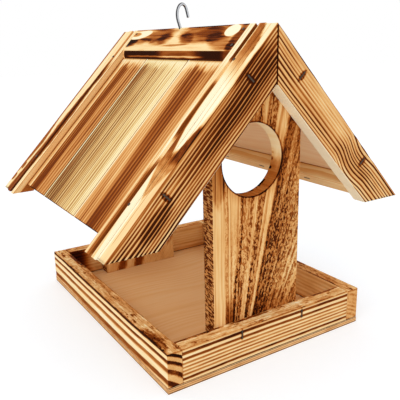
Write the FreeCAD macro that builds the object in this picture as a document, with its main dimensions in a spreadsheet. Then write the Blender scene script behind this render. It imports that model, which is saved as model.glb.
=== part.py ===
# Wooden bird feeder: an open tray on a thin plywood floor, two posts with a round
# hole each, and a steep gable roof of tongue-and-groove planks that hangs from a
# screw hook in its ridge.
#
# The origin is on the ground under the middle of the tray. +Z is up, the front
# gable faces -Y and the ridge runs along Y. All sizes are in millimetres. The posts
# and their holes stand a little to the left, as the maker set them.
#
# On the roof a place is given by its run, down the slope from the ridge, and its
# depth, square into the roof from the plane of the rake boards' top edges.

import FreeCAD
import Part
import Sketcher
import math
import os

SIZES = [
    ("tray_width", 275.0, "outside width of the tray frame"),
    ("tray_depth", 350.0, "outside depth of the tray frame"),
    ("floor_thickness", 6.5, "plywood floor under the tray frame"),
    ("board_thickness", 18.0, "planed board of the tray frame"),
    ("board_height", 40.0, "height of the tray boards on edge"),
    ("post_width", 119.0, "width of a post"),
    ("post_thickness", 18.0, "thickness of a post"),
    ("post_shift", 9.0, "posts stand this far to the left of the ridge"),
    ("hole_diameter", 79.0, "round hole through a post"),
    ("hole_drop", 138.0, "ridge to the centre of a post's hole"),
    ("hole_shift", 7.0, "hole centre to the left of the post's middle"),
    ("ridge_height", 365.0, "top of the roof above the ground"),
    ("roof_angle", 46.4, "angle of the roof from level, in degrees"),
    ("rake_thickness", 18.0, "thickness of a rake board"),
    ("rake_width", 41.0, "width of a rake board, square to the slope"),
    ("rake_foot", 157.0, "height of the level cut at the rake boards' feet"),
    ("lath_width", 27.0, "width of the edge lath beside a rake board"),
    ("gutter_inset", 11.0, "lath edge to the gutter's near side"),
    ("gutter_width", 6.0, "width of the gutter along the lath"),
    ("gutter_depth", 3.0, "depth of the gutter"),
    ("scribe_inset", 22.0, "lath edge to the scribed line"),
    ("scribe_width", 1.0, "width of the scribed line"),
    ("plank_drop", 8.0, "planks lie this far below the rake top"),
    ("plank_thickness", 12.0, "thickness of a roof plank"),
    ("plank_run", 266.0, "length down the slope to the planks' eave"),
    ("far_plank_width", 71.0, "covering width of the rear plank"),
    ("middle_plank_width", 104.0, "covering width of the middle plank"),
    ("tongue_length", 5.0, "length of a plank's tongue"),
    ("tongue_thickness", 4.0, "thickness of a plank's tongue"),
    ("tongue_clearance", 0.3, "air at the end of a tongue"),
    ("joint_chamfer", 1.5, "chamfer along a plank's upper edges"),
    ("liner_thickness", 4.0, "plywood liner under the planks"),
    ("liner_setback", 4.0, "liner stops this far above the planks' eave"),
    ("slat_width", 36.0, "upper face of a ridge slat, ridge to its plumb edge"),
    ("batten_width", 20.0, "width of the eave batten along the slope"),
    ("batten_thickness", 16.0, "thickness of the eave batten"),
    ("batten_setback", 29.0, "planks' eave to the batten's lower side"),
    ("edge_ease", 0.6, "small chamfer that breaks the sharp edges"),
    ("hook_place", 12.0, "hook's distance behind the middle of the ridge"),
    ("wire_diameter", 3.5, "wire of the hook"),
    ("eye_diameter", 18.5, "centre line diameter of the hook's bow"),
    ("eye_rise", 19.0, "centre of the bow above the ridge"),
    ("eye_shift", 3.8, "centre of the bow beside the shank"),
    ("shank_bend", 9.0, "radius of the bend from the shank to the bow"),
    ("mouth_angle", 35.0, "tip's angle below level, in degrees"),
    ("thread_length", 26.0, "hook's shank inside the wood"),
    ("shank_point", 5.0, "length of the shank's pointed end"),
    ("staple_crown", 10.4, "width of a staple over its legs"),
    ("staple_wire", 1.8, "square wire of a staple"),
    ("staple_leg", 25.0, "leg length of the staples through the thick boards"),
    ("floor_leg", 22.0, "leg length of the floor staples"),
    ("eave_leg", 28.0, "leg length of the staples through the eave battens"),
    ("crown_proud", 0.3, "staple crowns and nail heads stand this far out"),
    ("rake_staple_depth", 12.0, "rake top to the middle of a staple"),
    ("upper_staple_run", 61.0, "ridge to the upper staple on a rake board"),
    ("lower_staple_run", 203.0, "ridge to the lower staple on a rake board"),
    ("post_staple_spread", 87.0, "between the two staples on a tray end board"),
    ("post_staple_height", 39.0, "those staples above the ground"),
    ("floor_staple_spacing", 90.0, "between staples along the floor's edges"),
    ("nail_diameter", 1.8, "shank of a nail"),
    ("nail_head", 3.4, "head of a nail"),
    ("slat_nail_length", 18.0, "nail through a slat into the planks"),
    ("lath_nail_length", 36.0, "nail through a lath into a post or a batten"),
    ("nail_inset", 5.0, "slat end to its nails"),
    ("nail_margin", 7.0, "slat's long edges to its nails"),
    ("lath_nail_inset", 10.0, "lath's outer edge to its nails"),
    ("lath_nail_run", 48.0, "ridge to the nail from a lath into a post"),
]

SLOPE = "sizes.roof_angle * 1 deg"
COS = "cos(" + SLOPE + ")"
SIN = "sin(" + SLOPE + ")"
TAN = "tan(" + SLOPE + ")"

# Depths into the roof, down from the rake boards' top edges.
SKIN_TOP = "sizes.plank_drop"
SKIN_BOTTOM = "sizes.plank_drop + sizes.plank_thickness"
LINER_BOTTOM = SKIN_BOTTOM + " + sizes.liner_thickness"

# The two sides of the roof, as signs of X, and the two ends, as signs of Y.
LEFT = -1
RIGHT = 1
FRONT = -1
REAR = 1
SIDE_NAMES = {LEFT: "left", RIGHT: "right"}
END_NAMES = {FRONT: "front", REAR: "rear"}

doc = FreeCAD.newDocument("bird_feeder")
sheet = doc.addObject("Spreadsheet::Sheet", "sizes")


def fill_sheet():
    """Write each size to a row of the sheet: its name, its value and what it is."""
    for row, (name, value, meaning) in enumerate(SIZES, start=1):
        sheet.set("A%d" % row, name)
        sheet.set("B%d" % row, str(value))
        sheet.set("C%d" % row, meaning)
        sheet.setAlias("B%d" % row, name)
    doc.recompute()


def size(name):
    """A size's value from the sheet."""
    return float(sheet.get(name))


def worked_out(expression):
    """The value of an expression on the sheet's sizes."""
    result = sheet.evalExpression(expression)
    return float(getattr(result, "Value", result))


def on_slope(side, run, depth):
    """X and Z of a place on the roof, as expressions: run goes down, depth goes in."""
    across = "%d * ((%s) * %s - (%s) * %s)" % (side, run, COS, depth, SIN)
    height = "sizes.ridge_height - (%s) * %s - (%s) * %s" % (run, SIN, depth, COS)
    return across, height


def at_ridge(depth):
    """The place at this depth where the two slopes meet, on the plane X = 0."""
    return "0", "sizes.ridge_height - (%s) / %s" % (depth, COS)


def at_foot(side, depth):
    """The place at this depth on the level cut of the rake boards' feet."""
    across = "%d * (sizes.ridge_height - (%s) / %s - sizes.rake_foot) / %s" % (side, depth, COS, TAN)
    return across, "sizes.rake_foot"


def under_roof(across):
    """Height of the liner's underside at a distance from the middle."""
    return "sizes.ridge_height - (%s) / %s - (%s) * %s" % (LINER_BOTTOM, COS, across, TAN)


def origin_plane(body, role):
    """One of a body's own origin planes, by its role."""
    for feature in body.Origin.OriginFeatures:
        if feature.Role == role:
            return feature
    raise ValueError(role)


def new_sketch(body, name, role, offset=None):
    """An empty sketch on an origin plane, moved along the plane's normal."""
    sketch = body.newObject("Sketcher::SketchObject", name)
    sketch.AttachmentSupport = [(origin_plane(body, role), "")]
    sketch.MapMode = "FlatFace"
    if offset:
        sketch.setExpression("AttachmentOffset.Base.z", offset)
    return sketch


def pin_down(sketch, curve, place, axis, expression, value):
    """Fix one coordinate of a point: on the axis if it is 0, else by a bound distance."""
    if expression == "0":
        sketch.addConstraint(Sketcher.Constraint("PointOnObject", curve, place, axis))
        return
    kind = {-2: "DistanceX", -1: "DistanceY"}[axis]
    number = sketch.addConstraint(Sketcher.Constraint(kind, -1, 1, curve, place, value))
    sketch.setExpression("Constraints[%d]" % number, expression)


def outline(body, name, corners, role="XZ_Plane", offset=None):
    """A closed outline of straight sides through corners, pairs of expressions."""
    sketch = new_sketch(body, name, role, offset)
    spots = [(worked_out(x), worked_out(y)) for x, y in corners]
    count = len(corners)
    for index in range(count):
        start = FreeCAD.Vector(*spots[index], 0)
        end = FreeCAD.Vector(*spots[(index + 1) % count], 0)
        sketch.addGeometry(Part.LineSegment(start, end), False)
    for index in range(count):
        following = (index + 1) % count
        sketch.addConstraint(Sketcher.Constraint("Coincident", index, 2, following, 1))
    for index, (x, y) in enumerate(corners):
        pin_down(sketch, index, 1, -2, x, spots[index][0])
        pin_down(sketch, index, 1, -1, y, spots[index][1])
    return sketch


def circle(body, name, x, y, diameter, role="XZ_Plane", offset=None):
    """A sketch of one circle, its centre and diameter given as expressions."""
    sketch = new_sketch(body, name, role, offset)
    spot = (worked_out(x), worked_out(y))
    radius = worked_out(diameter) / 2
    centre = FreeCAD.Vector(*spot, 0)
    sketch.addGeometry(Part.Circle(centre, FreeCAD.Vector(0, 0, 1), radius), False)
    number = sketch.addConstraint(Sketcher.Constraint("Diameter", 0, 2 * radius))
    sketch.setExpression("Constraints[%d]" % number, diameter)
    pin_down(sketch, 0, 3, -2, x, spot[0])
    pin_down(sketch, 0, 3, -1, y, spot[1])
    return sketch


def pad(body, name, sketch, length):
    """Thicken a sketch by half the length to each side of its plane."""
    feature = body.newObject("PartDesign::Pad", name)
    feature.Profile = sketch
    feature.SideType = "Symmetric"
    feature.setExpression("Length", length)
    sketch.Visibility = False
    return feature


def pocket(body, name, sketch, length):
    """Cut a sketch out by half the length to each side of its plane."""
    feature = body.newObject("PartDesign::Pocket", name)
    feature.Profile = sketch
    feature.SideType = "Symmetric"
    feature.setExpression("Length", length)
    sketch.Visibility = False
    return feature


def ease_edges(body, base):
    """Break every edge of a body with a small chamfer."""
    feature = body.newObject("PartDesign::Chamfer", "eased_edges")
    feature.Base = (base, [""])
    feature.UseAllEdges = True
    feature.setExpression("Size", "sizes.edge_ease")
    return feature


def new_body(name, across="0", along="0", up="0"):
    """A named body whose origin is placed by three expressions."""
    body = doc.addObject("PartDesign::Body", name)
    body.Label = name
    for axis, expression in (("x", across), ("y", along), ("z", up)):
        if expression != "0":
            body.setExpression("Placement.Base." + axis, expression)
    return body


def prism(name, corners, length, across="0", along="0", up="0", eased=True):
    """A board: an outline in the XZ plane, made solid along Y about its place."""
    body = new_body(name, across, along, up)
    solid = pad(body, "board", outline(body, "section", corners), length)
    if eased:
        ease_edges(body, solid)
    return body


def rectangle(width, height):
    """Corners of a rectangle that stands on the X axis, centred on it."""
    half = "(%s) / 2" % width
    return [("-" + half, "0"), (half, "0"), (half, height), ("-" + half, height)]


def band(side, top, bottom, run):
    """Corners of a strip of the roof from the ridge down to a square-cut end."""
    return [
        at_ridge(top),
        on_slope(side, run, top),
        on_slope(side, run, bottom),
        at_ridge(bottom),
    ]


def mitred(side, top, bottom):
    """Corners of a strip of the roof from the ridge down to the level foot cut."""
    return [at_ridge(top), at_foot(side, top), at_foot(side, bottom), at_ridge(bottom)]


# Tray: a plywood floor, and a frame of boards on edge that stands on it.

def make_tray():
    """The floor, the two side boards and the two end boards between them."""
    prism("tray_floor", rectangle("sizes.tray_width", "sizes.floor_thickness"), "sizes.tray_depth", eased=False)
    side_section = rectangle("sizes.board_thickness", "sizes.board_height")
    for side in (LEFT, RIGHT):
        across = "%d * (sizes.tray_width - sizes.board_thickness) / 2" % side
        name = "tray_side_" + SIDE_NAMES[side]
        prism(name, side_section, "sizes.tray_depth", across=across, up="sizes.floor_thickness")
    end_section = rectangle("sizes.tray_width - 2 * sizes.board_thickness", "sizes.board_height")
    for end in (FRONT, REAR):
        along = "%d * (sizes.tray_depth - sizes.board_thickness) / 2" % end
        name = "tray_%s_board" % END_NAMES[end]
        prism(name, end_section, "sizes.board_thickness", along=along, up="sizes.floor_thickness")


# Posts: they stand on the floor against the end boards, cut to the gable on top.
# Their outer faces also carry the rake boards, which makes the roof as deep as the tray.

POST_FACE = "(sizes.tray_depth / 2 - sizes.board_thickness)"


def make_post(end):
    """A board with a pointed top that fits under the liner, and a round hole."""
    along = "%d * (%s - sizes.post_thickness / 2)" % (end, POST_FACE)
    body = new_body(END_NAMES[end] + "_post", along=along)
    left = "sizes.post_width / 2 + sizes.post_shift"
    right = "sizes.post_width / 2 - sizes.post_shift"
    corners = [
        ("-(%s)" % left, "sizes.floor_thickness"),
        (right, "sizes.floor_thickness"),
        (right, under_roof(right)),
        ("0", under_roof("0")),
        ("-(%s)" % left, under_roof(left)),
    ]
    pad(body, "board", outline(body, "front_outline", corners), "sizes.post_thickness")
    hole = circle(body, "hole_outline", "-(sizes.post_shift + sizes.hole_shift)", "sizes.ridge_height - sizes.hole_drop",
                  "sizes.hole_diameter")
    cut = pocket(body, "round_hole", hole, "2 * sizes.post_thickness")
    ease_edges(body, cut)


# Gable trim: rake boards, and beside each an edge lath that lies on the liner.

RAKE_PLACE = "(%s + sizes.rake_thickness / 2)" % POST_FACE
LATH_PLACE = "(%s - sizes.lath_width / 2)" % POST_FACE
LINER_LENGTH = "2 * %s" % POST_FACE
SKIN_LENGTH = "(%s - 2 * sizes.lath_width)" % LINER_LENGTH


def make_rake(end, side):
    """A board on edge from the ridge mitre to the level cut at its foot."""
    name = "rake_%s_%s" % (END_NAMES[end], SIDE_NAMES[side])
    corners = mitred(side, "0", "sizes.rake_width")
    return prism(name, corners, "sizes.rake_thickness", along="%d * %s" % (end, RAKE_PLACE))


def groove_outline(body, name, side, end, inset, width, depth):
    """A strip along the lath's top, inset from the edge that touches the rake board."""
    centre = "(%s) + (%s) / 2 - sizes.lath_width / 2" % (inset, width)
    section = [at_ridge("-1"), at_foot(side, "-1"), at_foot(side, depth), at_ridge(depth)]
    return outline(body, name, section, offset="%d * (%s)" % (end, centre))


def make_lath(end, side):
    """A lath flush with the rake top, with a gutter and a scribed line along it."""
    name = "edge_lath_%s_%s" % (END_NAMES[end], SIDE_NAMES[side])
    body = new_body(name, along="%d * %s" % (end, LATH_PLACE))
    corners = mitred(side, "0", SKIN_BOTTOM)
    pad(body, "lath", outline(body, "section", corners), "sizes.lath_width")
    gutter = groove_outline(body, "gutter_line", side, end, "sizes.gutter_inset", "sizes.gutter_width",
                            "sizes.gutter_depth")
    pocket(body, "gutter", gutter, "sizes.gutter_width")
    scribe = groove_outline(body, "scribe_line", side, end, "sizes.scribe_inset", "sizes.scribe_width",
                            "sizes.scribe_width")
    return pocket(body, "scribed_line", scribe, "sizes.scribe_width")


# Roof skin: a liner on each slope, three planks joined by tongue and groove, and a
# slat along the ridge that fills up to the rake top. The hook's bore is in the slats
# and in the middle planks.

HOOK_PLANK = 2

def hook_bore(body, along="0"):
    """The half of the hook's bore that this side of the ridge holds."""
    place = circle(body, "bore_outline", "0", "sizes.hook_place - (%s)" % along,
                   "sizes.wire_diameter", role="XY_Plane", offset="sizes.ridge_height")
    return pocket(body, "hook_bore", place, "2 * sizes.thread_length")


def make_plank(side, number, width, along, tongue, groove):
    """A plank from ridge to eave, with a tongue on its front edge or a groove behind."""
    name = "roof_plank_%s_%d" % (SIDE_NAMES[side], number)
    body = new_body(name, along=along)
    corners = band(side, SKIN_TOP, SKIN_BOTTOM, "sizes.plank_run")
    solid = pad(body, "plank", outline(body, "section", corners), width)
    doc.recompute()
    chamfer = body.newObject("PartDesign::Chamfer", "joint_edges")
    chamfer.Base = (solid, top_edges(solid.Shape, side))
    chamfer.setExpression("Size", "sizes.joint_chamfer")
    middle = "(%s + sizes.plank_thickness / 2)" % SKIN_TOP
    upper = middle + " - sizes.tongue_thickness / 2"
    lower = middle + " + sizes.tongue_thickness / 2"
    strip = band(side, upper, lower, "sizes.plank_run")
    if groove:
        slot = outline(body, "groove_section", strip, offset="-(%s) / 2" % width)
        pocket(body, "groove", slot, "2 * (sizes.tongue_length + sizes.tongue_clearance)")
    if tongue:
        ledge = outline(body, "tongue_section", strip, offset="(%s) / 2" % width)
        pad(body, "tongue", ledge, "2 * sizes.tongue_length")
    if number == HOOK_PLANK:
        hook_bore(body, along)
    return body


def top_edges(shape, side):
    """Names of the two long edges on the upper face of a plank."""
    slope = math.radians(size("roof_angle"))
    names = []
    for index, edge in enumerate(shape.Edges, start=1):
        depths = []
        for vertex in edge.Vertexes:
            fall = size("ridge_height") - vertex.Z
            depths.append(fall * math.cos(slope) - side * vertex.X * math.sin(slope))
        on_top = all(abs(depth - size("plank_drop")) < 0.01 for depth in depths)
        along_slope = abs(edge.Vertexes[0].Y - edge.Vertexes[-1].Y) < 0.01
        if on_top and along_slope:
            names.append("Edge%d" % index)
    return names


def make_planks(side):
    """Three planks of different widths between the edge laths, rear one first."""
    near_width = "(%s - sizes.far_plank_width - sizes.middle_plank_width)" % SKIN_LENGTH
    rear_edge = "(%s) / 2" % SKIN_LENGTH
    used = "0"
    widths = ["sizes.far_plank_width", "sizes.middle_plank_width", near_width]
    for number, width in enumerate(widths, start=1):
        along = "%s - (%s) - (%s) / 2" % (rear_edge, used, width)
        make_plank(side, number, width, along, tongue=number < len(widths), groove=number > 1)
        used = used + " + " + width


def make_liner(side):
    """Thin plywood from rake board to rake board under the planks and laths."""
    run = "sizes.plank_run - sizes.liner_setback"
    corners = band(side, SKIN_BOTTOM, LINER_BOTTOM, run)
    return prism("roof_liner_" + SIDE_NAMES[side], corners, LINER_LENGTH, eased=False)


BATTEN_MIDDLE = "sizes.plank_run - sizes.batten_setback - sizes.batten_width / 2"


def make_batten(side):
    """A batten under the liner near the eave, from rake board to rake board."""
    lower_run = "sizes.plank_run - sizes.batten_setback"
    upper_run = lower_run + " - sizes.batten_width"
    bottom = LINER_BOTTOM + " + sizes.batten_thickness"
    corners = [
        on_slope(side, upper_run, LINER_BOTTOM),
        on_slope(side, lower_run, LINER_BOTTOM),
        on_slope(side, lower_run, bottom),
        on_slope(side, upper_run, bottom),
    ]
    return prism("eave_batten_" + SIDE_NAMES[side], corners, LINER_LENGTH)




def make_slat(side):
    """A slat along the ridge, as thick as the planks lie deep, its lower edge plumb."""
    body = new_body("ridge_slat_" + SIDE_NAMES[side])
    # Below its upper corner, the plumb edge meets the planks further down the slope.
    lower_run = "sizes.slat_width + (%s) * %s" % (SKIN_TOP, TAN)
    corners = [
        at_ridge("0"),
        on_slope(side, "sizes.slat_width", "0"),
        on_slope(side, lower_run, SKIN_TOP),
        at_ridge(SKIN_TOP),
    ]
    pad(body, "slat", outline(body, "section", corners), SKIN_LENGTH)
    return hook_bore(body)


# Hook: one wire, straight in the wood, bent over the ridge into an open bow.

def hook_path():
    """The wire's centre line above the ridge, as lines and arcs in the XZ plane."""
    radius = size("eye_diameter") / 2
    bend = size("shank_bend")
    centre = FreeCAD.Vector(size("eye_shift"), 0, size("ridge_height") + size("eye_rise"))
    bend_centre_x = -bend
    # The bend turns the shank out to the left, and the bow turns it back over the top.
    # Both arcs meet where the line of their centres crosses them.
    across = centre.x - bend_centre_x
    reach = radius + bend
    drop = math.sqrt(reach ** 2 - across ** 2)
    bend_centre = FreeCAD.Vector(bend_centre_x, 0, centre.z - drop)
    meeting = bend_centre + (centre - bend_centre) * (bend / reach)
    return centre, bend_centre, meeting, radius, bend


def arc_through(centre, radius, first, last):
    """An arc about a centre in the XZ plane, between two angles in degrees."""
    spots = []
    for angle in (first, (first + last) / 2, last):
        turn = math.radians(angle)
        spots.append(centre + FreeCAD.Vector(math.cos(turn), 0, math.sin(turn)) * radius)
    return Part.Arc(*spots).toShape(), spots


def make_hook():
    """The bent wire, with its pointed shank in the wood."""
    centre, bend_centre, meeting, radius, bend = hook_path()
    wire_radius = size("wire_diameter") / 2
    ridge = size("ridge_height")
    away = meeting - bend_centre
    bend_end = math.degrees(math.atan2(away.z, away.x))
    lower_arc, lower_spots = arc_through(bend_centre, bend, 0, bend_end)
    back = meeting - centre
    bow_start = math.degrees(math.atan2(back.z, back.x)) % 360
    bow_end = -size("mouth_angle")
    bow, bow_spots = arc_through(centre, radius, bow_start, bow_end)
    seat = FreeCAD.Vector(0, 0, ridge - size("thread_length") + size("shank_point"))
    shank = Part.LineSegment(seat, lower_spots[0]).toShape()
    path = Part.Wire([shank, lower_arc, bow])
    section = Part.Wire([Part.Circle(seat, FreeCAD.Vector(0, 0, 1), wire_radius).toShape()])
    bent = path.makePipeShell([section], True, True)
    point = Part.makeCone(0.2 * wire_radius, wire_radius, size("shank_point"),
                          seat - FreeCAD.Vector(0, 0, size("shank_point")))
    tip = Part.makeSphere(wire_radius, bow_spots[-1])
    hook = doc.addObject("Part::Feature", "hanging_hook")
    hook.Label = "hanging_hook"
    hook.Shape = bent.fuse([point, tip]).removeSplitter()
    hook.setExpression("Placement.Base.y", "sizes.hook_place")
    return hook


# Fasteners: groups of staples and nails, each driven in square to its face.

def staple(leg):
    """One staple: its crown along X above the origin, its legs down -Z, chisel pointed."""
    half = size("staple_crown") / 2
    wire = size("staple_wire")
    proud = size("crown_proud")
    inner = half - wire
    crown = proud - wire
    corners = [
        (-half, -leg), (-half, proud), (half, proud), (half, -leg),
        (inner, wire - leg), (inner, crown), (-inner, crown), (-inner, wire - leg),
    ]
    face = Part.Face(Part.makePolygon([FreeCAD.Vector(x, -wire / 2, z) for x, z in corners + corners[:1]]))
    return face.extrude(FreeCAD.Vector(0, wire, 0))


def nail(length):
    """One nail: a flat head above the origin and a pointed shank down -Z."""
    proud = size("crown_proud")
    radius = size("nail_diameter") / 2
    point = 2 * size("nail_diameter")
    corners = [
        (0, proud),
        (size("nail_head") / 2, proud),
        (size("nail_head") / 2, -proud),
        (radius, -proud),
        (radius, point - length),
        (0, -length),
    ]
    face = Part.Face(Part.makePolygon([FreeCAD.Vector(x, 0, z) for x, z in corners + corners[:1]]))
    return face.revolve(FreeCAD.Vector(0, 0, 0), FreeCAD.Vector(0, 0, 1), 360)


def driven(shape, place, outward, crown):
    """A copy with +Z turned to outward and +X to crown, moved to its place."""
    across = FreeCAD.Vector(*crown)
    out = FreeCAD.Vector(*outward)
    third = out.cross(across)
    turn = FreeCAD.Matrix(
        across.x, third.x, out.x, place[0],
        across.y, third.y, out.y, place[1],
        across.z, third.z, out.z, place[2],
        0, 0, 0, 1,
    )
    copy = shape.copy()
    copy.Placement = FreeCAD.Placement(turn)
    return copy


def fastener_group(name, pieces):
    """Separate solids of one kind of fastener, kept as one object."""
    group = doc.addObject("Part::Feature", name)
    group.Label = name
    group.Shape = Part.makeCompound(pieces)
    return group


def out_of_slope(side):
    """Unit direction out of a roof slope."""
    slope = math.radians(size("roof_angle"))
    return (side * math.sin(slope), 0, math.cos(slope))


def roof_spot(side, run, depth):
    """X and Z of a place on the roof, in millimetres."""
    across, height = on_slope(side, repr(run), repr(depth))
    return worked_out(across), worked_out(height)


def make_rake_staples():
    """Two staples in each rake board, their crowns across the board."""
    pieces = []
    one = staple(size("staple_leg"))
    face = worked_out(POST_FACE) + size("rake_thickness")
    for end in (FRONT, REAR):
        for side in (LEFT, RIGHT):
            out = out_of_slope(side)
            for run in (size("upper_staple_run"), size("lower_staple_run")):
                x, z = roof_spot(side, run, size("rake_staple_depth"))
                place = (x, end * face, z)
                pieces.append(driven(one, place, (0, end, 0), out))
    return fastener_group("rake_staples", pieces)


def make_post_staples():
    """Two staples through each tray end board into its post."""
    pieces = []
    one = staple(size("staple_leg"))
    for end in (FRONT, REAR):
        for side in (LEFT, RIGHT):
            x = side * size("post_staple_spread") / 2
            place = (x, end * size("tray_depth") / 2, size("post_staple_height"))
            pieces.append(driven(one, place, (0, end, 0), (0, 0, 1)))
    return fastener_group("post_staples", pieces)


def make_floor_staples():
    """Staples from below through the plywood into all four tray boards."""
    pieces = []
    one = staple(size("floor_leg"))
    below = size("crown_proud")
    side_x = (size("tray_width") - size("board_thickness")) / 2
    end_y = (size("tray_depth") - size("board_thickness")) / 2
    pitch = size("floor_staple_spacing")
    for side in (LEFT, RIGHT):
        for step in (-1, 0, 1):
            pieces.append(driven(one, (side * side_x, step * pitch, below), (0, 0, -1), (0, 1, 0)))
    for end in (FRONT, REAR):
        for step in (-1, 1):
            pieces.append(driven(one, (step * pitch, end * end_y, below), (0, 0, -1), (1, 0, 0)))
    return fastener_group("floor_staples", pieces)


def make_roof_staples():
    """A staple from below through each eave batten into each plank."""
    pieces = []
    one = staple(size("eave_leg"))
    skin = worked_out(SKIN_LENGTH)
    far = size("far_plank_width")
    middle = size("middle_plank_width")
    near = skin - far - middle
    plank_middles = (skin / 2 - far / 2, skin / 2 - far - middle / 2, near / 2 - skin / 2)
    run = worked_out(BATTEN_MIDDLE)
    depth = worked_out(LINER_BOTTOM) + size("batten_thickness")
    for side in (LEFT, RIGHT):
        inward = tuple(-part for part in out_of_slope(side))
        for y in plank_middles:
            x, z = roof_spot(side, run, depth)
            pieces.append(driven(one, (x, y, z), inward, (0, 1, 0)))
    return fastener_group("roof_staples", pieces)


def make_slat_nails():
    """Two nails in each end of each ridge slat."""
    pieces = []
    one = nail(size("slat_nail_length"))
    end_y = worked_out(SKIN_LENGTH) / 2 - size("nail_inset")
    runs = (size("nail_margin"), size("slat_width") - size("nail_margin"))
    for side in (LEFT, RIGHT):
        out = out_of_slope(side)
        for end in (FRONT, REAR):
            for run in runs:
                x, z = roof_spot(side, run, 0.0)
                pieces.append(driven(one, (x, end * end_y, z), out, (0, 1, 0)))
    return fastener_group("slat_nails", pieces)


def make_lath_nails():
    """A nail from each edge lath into the post below it, and one into the eave batten."""
    pieces = []
    one = nail(size("lath_nail_length"))
    nail_y = worked_out(POST_FACE) - size("lath_nail_inset")
    runs = (size("lath_nail_run"), worked_out(BATTEN_MIDDLE))
    for side in (LEFT, RIGHT):
        out = out_of_slope(side)
        for end in (FRONT, REAR):
            for run in runs:
                x, z = roof_spot(side, run, 0.0)
                pieces.append(driven(one, (x, end * nail_y, z), out, (0, 1, 0)))
    return fastener_group("lath_nails", pieces)


def check(pieces):
    """Stop if any object failed, or a piece has no sound shape."""
    for item in doc.Objects:
        if "Invalid" in item.State or "Error" in item.State:
            raise RuntimeError("failed: " + item.Name)
    for piece in pieces:
        if piece.Shape.isNull() or not piece.Shape.isValid():
            raise RuntimeError("no sound shape: " + piece.Label)


def write(pieces):
    """Write each piece to its own file."""
    os.makedirs("parts", exist_ok=True)
    for piece in pieces:
        piece.Shape.exportStep("parts/%s.step" % piece.Label)
        count = len(piece.Shape.Solids)
        print("%-24s %2d solids %12.1f mm3" % (piece.Label, count, piece.Shape.Volume))


fill_sheet()
make_tray()
for end in (FRONT, REAR):
    make_post(end)
    for side in (LEFT, RIGHT):
        make_rake(end, side)
        make_lath(end, side)
for side in (LEFT, RIGHT):
    make_planks(side)
    make_liner(side)
    make_batten(side)
    make_slat(side)
make_hook()
make_rake_staples()
make_post_staples()
make_floor_staples()
make_roof_staples()
make_slat_nails()
make_lath_nails()
doc.recompute()

PIECES = [item for item in doc.Objects if item.TypeId in ("PartDesign::Body", "Part::Feature")]
check(PIECES)
write(PIECES)
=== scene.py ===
# %% [markdown]
# # A torched wooden bird feeder
#
# The real feeder is a shallow tray, two upright boards with a large round hole, and a steep gable roof of
# planks under a bent hook. Its spruce was browned with a gas torch and brushed, so every board shows its
# growth rings as dark lines between paler ridges.
#
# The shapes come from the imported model, which is loaded first and never moved. The lesson is mostly about
# wood: one way to work out growth rings in space, and one scale of brown that most boards share.

import math

import bpy
import numpy as np
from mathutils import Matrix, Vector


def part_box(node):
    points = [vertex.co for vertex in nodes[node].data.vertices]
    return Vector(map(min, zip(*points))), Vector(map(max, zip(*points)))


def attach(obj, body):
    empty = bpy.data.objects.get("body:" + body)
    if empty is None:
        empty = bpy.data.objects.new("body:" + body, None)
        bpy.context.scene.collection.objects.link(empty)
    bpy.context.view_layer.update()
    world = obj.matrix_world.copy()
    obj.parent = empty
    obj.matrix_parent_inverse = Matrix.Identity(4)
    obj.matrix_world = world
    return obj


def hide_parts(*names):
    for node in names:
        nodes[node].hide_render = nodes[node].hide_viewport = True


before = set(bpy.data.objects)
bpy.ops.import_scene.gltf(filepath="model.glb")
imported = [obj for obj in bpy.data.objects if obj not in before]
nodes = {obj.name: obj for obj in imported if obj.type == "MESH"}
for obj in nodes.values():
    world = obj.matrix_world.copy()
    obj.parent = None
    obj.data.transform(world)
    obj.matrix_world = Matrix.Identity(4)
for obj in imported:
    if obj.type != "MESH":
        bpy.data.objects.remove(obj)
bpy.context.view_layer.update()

# %% [markdown]
# ## Camera
#
# The picture is taken from the front left, a little above the roof's middle, and tipped by about a degree.
# The camera's place was found by lining up the tray's and the roof's corners. A plain rotation, built from
# three axes, keeps the small tip under control.

# %% Place the camera
MM = 0.001
AIM = np.array([16.0, 0.0, 141.77])
AZIMUTH = math.radians(-32.27)
ELEVATION = math.radians(15.91)
TIP = math.radians(-1.20)
DISTANCE = 750.37
SENSOR = 36.0
FOCUS_PIXELS, PICTURE_PIXELS = 553.95, 400

back = np.array([
    math.sin(AZIMUTH) * math.cos(ELEVATION),
    -math.cos(AZIMUTH) * math.cos(ELEVATION),
    math.sin(ELEVATION),
])


def add(name, data):
    """A new object in the scene."""
    thing = bpy.data.objects.new(name, data)
    bpy.context.scene.collection.objects.link(thing)
    return thing


def stand(thing, place, back, tip=0.0):
    """Puts a camera or lamp at a place in metres, with its back to one direction, and tips it."""
    right = np.cross((0, 0, 1), back)
    right /= np.linalg.norm(right)
    up = np.cross(back, right)
    turn = np.eye(4)
    turn[:3] = np.stack([math.cos(tip) * right + math.sin(tip) * up,
                         math.cos(tip) * up - math.sin(tip) * right, back, place], 1)
    thing.matrix_world = [tuple(row) for row in turn.T]


camera_data = bpy.data.cameras.new("camera")
camera_data.sensor_width = SENSOR
camera_data.lens = FOCUS_PIXELS / PICTURE_PIXELS * SENSOR
camera_data.clip_start = 0.01
camera_data.clip_end = 50
camera = add("camera", camera_data)
eye = (AIM + back * DISTANCE) * MM
stand(camera, eye, back, TIP)
bpy.context.scene.camera = camera
print("camera at", eye.round(4))

# %% [markdown]
# ## Shader maths
#
# Wood is easier to write as a formula than to draw as a web of nodes. This class wraps one number that varies
# over a surface. Adding or multiplying two of them adds the Math node that does it.

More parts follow.
